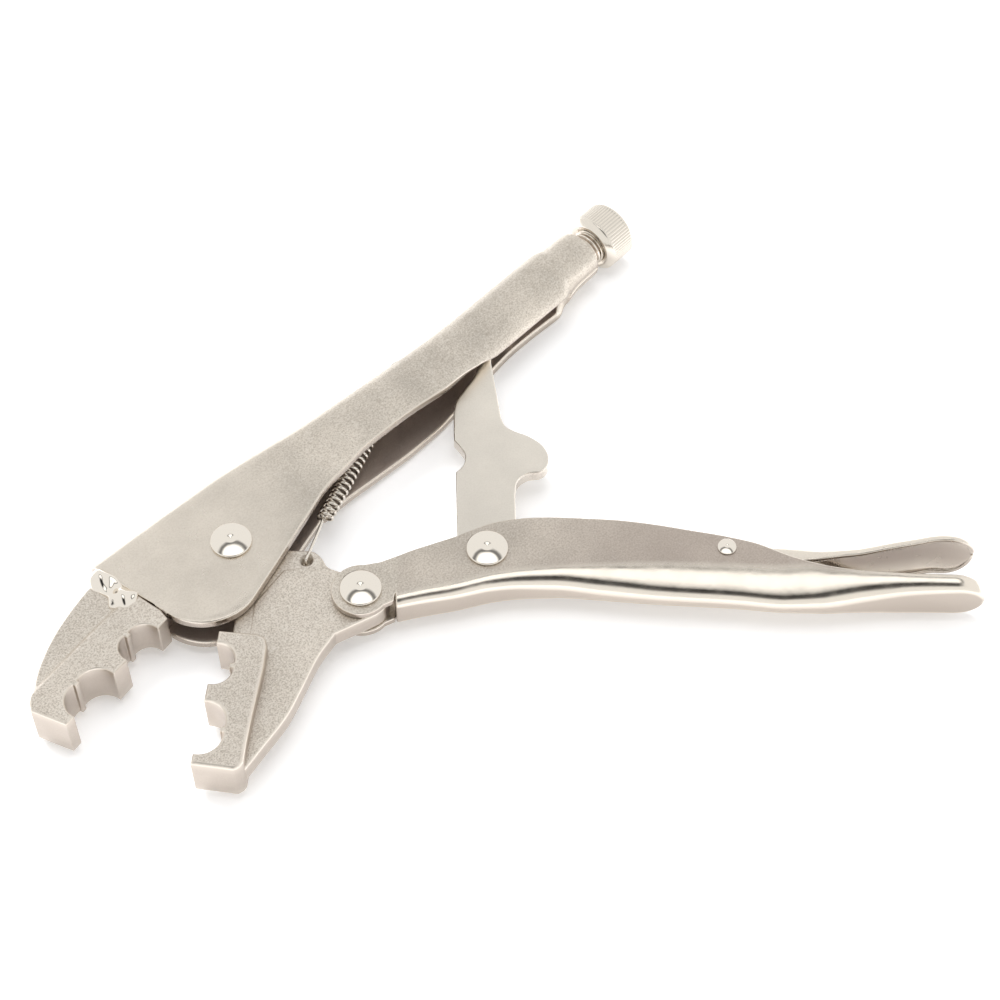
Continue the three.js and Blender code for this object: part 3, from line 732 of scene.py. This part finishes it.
def fixed_jaw():
    back = curve_through([(-64.7, -0.9), (-63.2, 1.2), (-60, 3.9), (-55.2, 7.6), (-48, 11.4),
                          (-40, 14.2), (-33, 15.9)])
    outline = [*tooth_edge(1, 0), (-25.0, -2.0), (-25.9, 6), (-27.1, 16.2), *back[::-1]]
    left_of_ramp = from_line((-60.8, 2.8), (-33.0, 6.2))

    def top(x, y):
        block_level = BLOCK_HALF - 0.9 * smooth(-44, -28, x)
        return BACK_HALF + (block_level - BACK_HALF) * smooth(1.2, -0.9, left_of_ramp(x, y))

    shank = [(-36, 0), (-24, -2.6), (-14.6, -1.6), *arc((0, 0), 13.2, 173, 112, 12), (-12, 15.4), (-36, 14)]
    parts = [
        relief(outline, top, edge=0.6, pitch=0.7),
        relief(shank, level(SHANK_HALF), edge=0.3, pitch=2.0),
    ]
    piece("fixed_jaw_forging", parts, HANDLE, "upper", FORGED_METAL, ["fixed_jaw"])


def movable_jaw():
    px, py = SHUT_HANDLE_PIVOT
    block_heel = curve_through([(-24.2, -14.2), (-24.8, -16.4), (-26.9, -17.6)], 4)
    block_tip = curve_through([(-59.4, -21.3), (-60.5, -20.2), (-60.7, -18.6)], 4)
    block = [*tooth_edge(-1, 0.3), (-24.6, -11.6), *block_heel, (-32.4, -18.6), (-39.3, -19.3),
             (-46, -20), (-52.7, -20.8), (-58.2, -21.7), *block_tip]
    arm_back = curve_through([(-18.9, -31), (-24.9, -29.3), (-33.8, -28.2), (-40, -27.4),
                              (-44.6, -26.3), (-51.5, -24), (-58, -21.9)], 5)
    arm = [(-25.6, -11.9), (-21.8, -11.3), (-14.2, -9.8), (-3, -13.9), (-1.3, -18), (-0.9, -24.8),
           (0, -28.8), *arc((px, py), 6.9, 44, -138, 24), (-17.6, -31.4), *arm_back, (-58.6, -20),
           (-40, -17)]
    ear = curve_through([(3.4, -16.2), (3.9, -19.4), (2.6, -22), (0.3, -24.4), (-0.3, -28)], 6)
    hub = [(-25.5, -8.6), (-22.8, -7.5), (-18, -6.6), *arc((0, 0), 12, 205, -78, 40), *ear,
           (-20, -26), (-28, -14)]

    def dished(x, y):
        """The hub's face, which sinks past the middle plane where the spring's hook goes through."""
        near = np.hypot(x - SHUT_HOOK_HOLE[0], y - SHUT_HOOK_HOLE[1])
        return HUB_HALF - (HUB_HALF + 0.6) * smooth(1.5, 1.1, near)

    parts = [
        relief(block, level(BLOCK_HALF), edge=1.0, pitch=0.8),
        relief(arm, level(SHANK_HALF), edge=0.6, pitch=0.9),
        relief(hub, dished, edge=0.4, pitch=0.5),
    ]
    piece("movable_jaw_forging", parts, JAW, "jaw", FORGED_METAL, ["movable_jaw"])


def weld_bead(name, node_name, side):
    """Lumpy bead between the handle's front edge and the fixed jaw: side is 1 above and -1 below."""
    rim = [(-25.3, 5.4), (-25.6, 9.5), (-26.2, 15), (-27.4, 18.2), (-30.4, 17.6), (-32.4, 14.4),
           (-31.2, 10.6), (-32.8, 7.8), (-30.9, 4.6), (-27.8, 3.9)]
    outline = curve_through([*rim, rim[0]], 8)[:-1]

    def top(x, y):
        lumps = 0.6 * np.sin(0.75 * y + 0.35 * x) + 0.3 * np.sin(1.3 * x - 0.8 * y + 1.0)
        cross = 2.2 - 0.16 * (x + 28.6) ** 2
        return 4.9 + np.clip(cross, 0.1, None) * 0.6 + lumps

    part = relief(outline, top, bottom=level(3.2), edge=1.1, pitch=0.45, corner=0.6)
    vertices, faces, values = part
    if side < 0:
        vertices = vertices * (1, 1, -1)
        faces = [tuple(reversed(f)) for f in faces]
    values["polish"] = 1.0
    piece(name, [(vertices, faces, values)], HANDLE, "upper", BRIGHT_METAL, [node_name])


# ---- lower handle and lever ----

# (x, value) keys along the handle: its web, its free edges, its half width, and how deep its rolled
# corners go and how much of its half width they take.
LOWER_WEB = [(8.3, -4.3), (15, -2.7), (23, -1.1), (31, 1), (38, 1.9), (48, 2), (58, 0.9), (72, -0.5),
             (90, -1.7), (102, -2.9), (112, -2.9), (122, -1.8), (134, -0.9), (150, -0.7)]
LOWER_OPEN = [(8.3, 9.2), (12.6, 11.2), (22.8, 15.2), (31.1, 18.9), (38.3, 20.5), (46, 20.9), (54, 20.6),
              (63, 20.0), (71.8, 18.7), (80.7, 16.9), (88, 15.4), (96, 13.2), (100.5, 11.1), (104, 9.3),
              (108.7, 7.4), (114, 5.8), (122, 4.3), (134, 3.1), (150, 2.6)]
LOWER_WIDTH = [(100, LOWER_HALF), (130, 6.6)]
LOWER_CORNER = [(8.3, 2.6), (31, 3.3), (48, 4.6), (60, 6.6), (72, 8.2), (92, 9.0), (108, 9.8),
                (114, 8.0), (122, 6.2), (134, 4.2), (150, 3.0)]
LOWER_ROLL = [(8.3, 2.4), (31, 3.0), (48, 4.0), (60, 4.6), (100, 4.8), (114, 5.2), (122, 4.6),
              (134, 3.4), (150, 2.4)]
TAIL_ROUND = 6.4
EAR_RADIUS = 7.2
EAR_SINK = 0.03  # how far the ears lie under the sheet that runs on from them


def stations(start, end, count, tail):
    """Evenly spread places, closer together towards a round end of length tail."""
    body = np.linspace(start, end - tail, count)
    a = np.linspace(0, math.radians(86), 22)[1:]
    return np.concatenate([body, end - tail + tail * np.sin(a)])


def round_end(x, end, tail):
    """Share of its width that a strip still has at x."""
    t = max(0.0, (x - (end - tail)) / tail)
    return math.sqrt(max(1 - t * t, 0.0))


def lower_handle():
    inset = LOWER_SHEET / 2
    lines = []
    for x in stations(8.8, LOWER_END, 130, TAIL_ROUND):
        share = round_end(x, LOWER_END, TAIL_ROUND)
        half = (float(along(LOWER_WIDTH, x)) - inset) * share
        web = float(along(LOWER_WEB, x)) + inset
        edge = (float(along(LOWER_OPEN, x)) - web) * (0.25 + 0.75 * share)
        deep = min(float(along(LOWER_CORNER, x)) - inset, edge - 0.3)
        wide = (float(along(LOWER_ROLL, x)) - inset) * share
        found = channel_side(half, deep, min(wide, deep), edge, 0, 24, 6, rolled_corner)
        side = np.column_stack([np.full(len(found), x), web + found[:, 0], found[:, 1]])
        lines.append(np.concatenate([(side * (1, 1, -1))[::-1], side[1:]]))
    middle = np.array(lines)
    depth = middle[..., 1] - along(LOWER_WEB, middle[..., 0])
    corner = along(LOWER_CORNER, middle[..., 0])
    polish = smooth(1.15, 0.85, depth / corner)
    x = middle[..., 0]
    # Its matt walls are made darker, most from x 25 on and fading out towards the tail.
    outside_darkening = (1 - polish) * (0.14 + 0.42 * smooth(25, 80, x)) * smooth(130, 112, x)
    # Its inside is darkened with painted shade and duller plating, fading out at the tail.
    part = sheet(middle, LOWER_SHEET, polish, 0.75 * smooth(128, 108, x), edge=0.5, outside_darkening=outside_darkening)
    ear = [(11.0, 10.9), (8.3, 9.7), (4.5, 8.0), (0.6, 7.2), *arc((0, 0), EAR_RADIUS, 96, 322, 40),
           (8.0, -3.2), (8.3, -1.2), (11.0, -0.6)]
    outside, inside = LOWER_HALF - EAR_SINK, LOWER_HALF - LOWER_SHEET + EAR_SINK
    ears = [
        relief(ear, level(high), level(low), edge=0.35, pitch=1.2)
        for low, high in ((inside, outside), (-outside, -inside))
    ]
    parts = [part, *ears]
    piece("lower_handle_sheet", parts, LOWER, "lower", SHEET_METAL, ["lower_handle"])


# (x, value) keys along the lever: its free edges, how deep it is and its half width.
LEVER_FREE = [(67, 5.6), (88, 8.4), (96, 9.6), (101, 10.2), (107, 10.4), (113, 10.4), (121, 10.0),
              (128, 10.8), (134, 11.9), (141, 13.2), (150, 12.6)]
LEVER_DEEP = [(67, 3.6), (88, 6.8), (96, 5.6), (107, 4.2), (113, 3.4), (121, 2.9), (134, 2.8),
              (141, 2.4), (150, 1.7)]
LEVER_WIDTH = [(67, 2.1), (96, 2.3), (107, 2.5), (112, 3.2), (118, 5.1), (124, 6.5), (130, 7.2),
               (150, 7.3)]
LEVER_START = 67


def release_lever():
    inset = LEVER_SHEET / 2
    lines = []
    for x in stations(LEVER_START, LEVER_END, 100, TAIL_ROUND):
        share = round_end(x, LEVER_END, TAIL_ROUND)
        half = (float(along(LEVER_WIDTH, x)) - inset) * share
        deep = float(along(LEVER_DEEP, x)) - inset
        crown = float(along(LEVER_FREE, x)) + deep
        found = channel_side(half, deep - 0.3, half, deep, 0, 14, 3)
        height = crown - found[:, 0] * share
        side = np.column_stack([np.full(len(found), x), height, found[:, 1]])
        lines.append(np.concatenate([(side * (1, 1, -1))[::-1], side[1:]]))
    middle = np.array(lines)[:, ::-1]
    polish = np.full(middle.shape[:2], 0.8)
    # The lever's hollow tail is painted darker towards its top: a painted shade.
    inner = 0.5 * smooth(112, 122, middle[..., 0]) * smooth(152, 130, middle[..., 0])
    inner = inner * smooth(-5, 3, middle[..., 2])
    part = sheet(middle, LEVER_SHEET, polish, inner, edge=0.45, inside=1.0)
    nodes = ["release_lever"]
    piece("release_lever_sheet", [part], LOWER, "lever", SHEET_METAL, nodes)


def toggle_link():
    right = curve_through([(37.3, 30.5), (37.9, 34.6), (40.4, 37), (43.6, 37.6), (45.5, 39.6), (45.8, 42.8),
                           (44.3, 46), (41, 48.8), (37.4, 50.4), (34.9, 52.2), (33.8, 55)], 6)
    left = curve_through([(27.6, 73), (26.8, 68.4), (24.2, 63.8), (22.2, 60), (21.6, 56.5)], 6)
    outline = [*arc(LINK_PIVOT, 7.3, 180, 360, 24), *right, (31.2, 73), (31.3, 81),
               *arc((29.4, 81), 1.9, 0, 180, 10), *left, (21.8, 47.8),
               *curve_through([(23.4, 45.6), (24.7, 43), (24.3, 39.8), (22.4, 37.4)], 5)]
    part = relief(outline, level(LINK_HALF), edge=0.45, pitch=1.2)
    piece("toggle_link_plate", [part], LOWER, "link", LINK_METAL, ["toggle_link"])


# ---- rivets, screw and spring ----


def rivet(name, place, head, shank, plate_top, body, node_name, at=HANDLE):
    """Rivet through walls whose outsides are plate_top from the middle, with a low dome at both ends,
    each dimpled by the punch."""
    seat, rim, slope = plate_top + 0.08, 0.12 * head, math.radians(20)
    ball = head / math.sin(slope)
    dimple_depth, dimple_radius = 0.07 * head, 0.14 * head
    dome = []
    for a in np.concatenate([np.linspace(slope, 0.16, 12), np.linspace(0.15, 0.004, 14)]):
        r = ball * math.sin(a)
        dimple = dimple_depth * math.exp(-((r / dimple_radius) ** 2))
        dome.append((seat + rim + ball * (math.cos(a) - math.cos(slope)) - dimple, r))
    peak = seat + rim + ball * (1 - math.cos(slope)) - dimple_depth
    under = [(seat, shank), (seat, head - 0.3), (seat + 0.08, head - 0.1), (seat + 0.3 * rim, head)]
    half = [*under, *dome, (peak, 0)]
    profile = [(-z, r) for z, r in reversed(half)] + half
    part = turned(profile, 72, offset=(*place, 0), polish=1.0)
    piece(name, [part], at, body, BRIGHT_METAL, [node_name])


def knurl(height, angles):
    """Fine straight grooves round the knob, between its plain bands."""
    rear = smooth(KNOB_END - 1.0, KNOB_END - 1.3, height)
    on = smooth(KNOB_FRONT + 1.7, KNOB_FRONT + 2.1, height) * rear
    groove = np.abs(((angles * KNURL_GROOVES / (2 * math.pi)) % 1) - 0.5) * 2
    return -on * KNURL_DEPTH * smooth(0.45, 1.0, groove)


def screw_part(name, node_name, body, material, part):
    piece(name, [part], HANDLE, body, material, [node_name])


def knob():
    start, end, r = KNOB_FRONT, KNOB_END, KNOB_RADIUS
    front = [(start + 0.5, 0), (start + 0.5, 5.1), (start + 0.15, 5.6), (start, 5.9), (start, 6.3),
             (start + 0.15, 6.55), (start + 1.2, 7.8), (start + 1.4, r - 0.06)]
    flank = [(x, r) for x in np.linspace(start + 1.6, end - 0.85, 18)]
    rear = [(end - 0.6, r - 0.05), (end - 0.25, r - 0.35), (end, r - 0.8), (end, r - 2.0),
            (end - 0.25, r - 2.3), (end - 0.3, r - 4.6), (end - 0.1, r - 5.0), (end - 0.1, 0)]
    profile = [*front, *flank, *rear]
    # The knurl's valleys are painted darker: a painted shade.
    part = turned(profile, KNURL_GROOVES * 6, "X", SCREW_AXIS, knurl, polish=0.75, shade=2.0)
    screw_part("knurled_knob", "adjusting_knob", "screw", SCREW_METAL, part)


def threaded_rod():
    start, end = ROD_START, KNOB_FRONT + 0.4

    def thread(height, angles):
        """One helical groove, which fades out at both ends."""
        phase = (height / THREAD_PITCH - angles / (2 * math.pi)) % 1
        wave = np.abs(phase - 0.5) * 2
        fade = smooth(start, start + 1.2, height) * smooth(end, end - 0.5, height)
        return fade * THREAD_DEPTH * (smooth(0.02, 0.7, wave) - 1)

    places = np.arange(start, end, THREAD_PITCH / 12)
    flank = [(x, SCREW_RADIUS - 0.05) for x in places + 0.05]
    profile = [(start, 0), (start, SCREW_RADIUS - 1.2), *flank, (end, SCREW_RADIUS - 0.3), (end, 0)]
    # The thread's valleys are painted darker: a painted shade.
    part = turned(profile, 64, "X", SCREW_AXIS, thread, polish=0.9, shade=0.9)
    # The rod is painted dark where it runs inside the tube: a painted shadow.
    painted_shadow_in_tube = 0.9 * smooth(TUBE_END - 4, TUBE_END - 12, part[0][:, 0])
    part[2]["inner"] = np.maximum(part[2]["inner"], painted_shadow_in_tube)
    screw_part("threaded_rod", "adjusting_screw", "screw", BRIGHT_METAL, part)


def rod_tip():
    profile = [(98.6, 0), (98.65, 1.2), (98.95, 2.3), (99.5, 3.1), (100.2, 3.5), (101, 3.6),
               (102.75, 3.6), (102.8, 0)]
    part = turned(profile, 48, "X", SCREW_AXIS)
    screw_part("rod_tip", "screw_tip", "tip", BRIGHT_METAL, part)


def return_spring():
    """Tension coil: rear hook through the slot in the handle's web, front hook through the jaw's ear."""
    front, rear = np.array((22.7, -8.9, 0)), np.array((58.4, 4.3, 0))
    wire, coil = 0.38, 1.85
    axis = unit(rear - front)
    side = np.array((-axis[1], axis[0], 0))
    turns = 22
    t = np.linspace(0, 1, turns * 16)
    angle = 2 * math.pi * turns * t
    helix = front + axis * (np.linalg.norm(rear - front) * t)[:, None]
    helix = helix + coil * (np.cos(angle)[:, None] * side + np.sin(angle)[:, None] * (0, 0, 1.0))
    c, s = math.cos(JAW_OPENING), math.sin(JAW_OPENING)
    x, y = SHUT_HOOK_HOLE
    hole = np.array((x * c - y * s, x * s + y * c, 0.0))
    out = HUB_HALF + 0.75
    u = unit(hole - front)
    hook = [front + side * (coil - 0.5) - axis * 0.6, front - axis * 1.1 + (0, 0, 1.0),
            front + u * 4 + (0, 0, 1.3), hole - u * 3 + (0, 0, out - 0.7), hole - u * 0.7 + (0, 0, out),
            hole + u * 0.4 + (0, 0, out - 0.3), hole + u * 0.45 + (0, 0, 1.2), hole + u * 0.45,
            hole + u * 0.45 - (0, 0, 1.2), hole + u * 0.4 - (0, 0, out - 0.3),
            hole - u * 0.8 - (0, 0, out), hole - u * 2.4 - (0, 0, out - 0.4)]
    tail = [helix[-1] + axis * 0.9 - side * 0.6, rear + axis * 2.2, rear + axis * 4.5 + (0, 0.9, 0),
            (66.0, 9.8, 0), (67.6, 12.0, 0), (69.2, 12.9, 0), (71.2, 12.7, 0)]
    route = [*curve_through(hook[::-1], 8), *helix[1:-1], *curve_through(tail, 8)]
    nodes = ["return_spring"]
    part = tube(route, wire, 8)
    made = piece("return_spring_wire", [part], HANDLE, None, BRIGHT_METAL, nodes)
    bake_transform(made)


# ---- studio ----

CAMERA_EYE = (-191.2, -264.0, 462.2)
CAMERA_TARGET = (56.4, -37.2, 0)
CAMERA_LENS = 82.26
LIT_PLACE = (40, -40, 0)


def camera():
    """The photograph's viewing angle. Returns the direction towards the camera."""
    data = bpy.data.cameras.new("camera")
    made = bpy.data.objects.new("camera", data)
    bpy.context.scene.collection.objects.link(made)
    eye, target = HANDLE @ Vector(CAMERA_EYE), HANDLE @ Vector(CAMERA_TARGET)
    made.location = eye
    made.rotation_euler = (target - eye).to_track_quat("-Z", "Y").to_euler()
    data.lens = CAMERA_LENS
    data.sensor_width = 36.0
    data.clip_start = 0.01
    bpy.context.scene.camera = made
    return (eye - target).normalized()


def softbox(name, direction, distance, size, power):
    target = HANDLE @ Vector(LIT_PLACE)
    data = bpy.data.lights.new(name, "AREA")
    data.shape = "DISK"
    data.size = size
    data.energy = power
    made = bpy.data.objects.new(name, data)
    made.location = target + direction.normalized() * distance
    made.rotation_euler = (target - made.location).to_track_quat("-Z", "Y").to_euler()
    made.visible_glossy = False  # the metal mirrors only the world and the floor
    bpy.context.scene.collection.objects.link(made)


def world(toward_camera):
    """Pale studio: a bright window in a dark ceiling, pale walls, and dark round the camera."""
    made = bpy.data.worlds.new("studio")
    bpy.context.scene.world = made
    made.use_nodes = True
    tree = made.node_tree
    background = tree.nodes["Background"]
    ray = node(tree, "ShaderNodeTexCoord").outputs["Generated"]
    height = node(tree, "ShaderNodeSeparateXYZ", {"Vector": ray}).outputs["Z"]
    above_camera = (toward_camera + Vector((0, 0, 0.14))).normalized()
    inputs = {0: ray, 1: above_camera}
    front = node(tree, "ShaderNodeVectorMath", inputs, operation="DOT_PRODUCT").outputs["Value"]
    walls = spread(tree, height, 0.865, 0.90, 0.95, 0.2375)
    window = spread(tree, height, 0.925, 0.95, 0.0, 1.2)
    bright = node(tree, "ShaderNodeMath", {0: walls, 1: window}, operation="ADD").outputs[0]
    kept = spread(tree, front, 0.885, 0.975, 1.0, 0.06)
    tree.links.new(times(tree, bright, kept), background.inputs["Strength"])
    background.inputs["Color"].default_value = (1.0, 0.995, 0.985, 1)


def floor():
    size = 3.0
    mesh = bpy.data.meshes.new("floor")
    corners = [(-size, -size, 0), (size, -size, 0), (size, size, 0), (-size, size, 0)]
    mesh.from_pydata(corners, [], [(0, 1, 2, 3)])
    made = bpy.data.objects.new("floor", mesh)
    made.location.z = cad_bounds[0][2] - 0.0002
    material = bpy.data.materials.new("white_paper")
    material.use_nodes = True
    shader = material.node_tree.nodes["Principled BSDF"]
    shader.inputs["Base Color"].default_value = (0.92, 0.92, 0.93, 1)
    shader.inputs["Roughness"].default_value = 0.7
    shader.inputs["Emission Color"].default_value = (1, 1, 1, 1)
    shader.inputs["Emission Strength"].default_value = 0.22
    mesh.materials.append(material)
    bpy.context.scene.collection.objects.link(made)


bpy.context.scene.view_settings.view_transform = "Standard"
toward_camera = camera()
world(toward_camera)
floor()
right = Vector((0.6756, -0.7373, 0))
away = Vector((0.7373, 0.6756, 0))
up = Vector((0, 0, 1))
softbox("key", -right * 0.75 + away * 0.7 + up * 1.1, distance=1.3, size=0.7, power=11)
softbox("overhead", away * 0.1 + up, distance=1.4, size=1.0, power=6)

upper_handle()
fixed_jaw()
weld_bead("upper_weld_bead", "top_weld", 1)
weld_bead("lower_weld_bead", "bottom_weld", -1)
movable_jaw()
lower_handle()
release_lever()
toggle_link()
rivet("jaw_rivet_pin", (0, 0), *RIVET, UPPER_HALF, "upper", "jaw_rivet")
rivet("handle_rivet_pin", (0, 0), *RIVET, LOWER_HALF, "jaw", "handle_rivet", LOWER)
rivet("link_rivet_pin", LINK_PIVOT, *RIVET, LOWER_HALF, "lower", "link_rivet", LOWER)
rivet("lever_rivet_pin", LEVER_PIVOT, *SMALL_RIVET, LOWER_HALF, "lower", "lever_rivet", LOWER)
rod_tip()
threaded_rod()
knob()
return_spring()
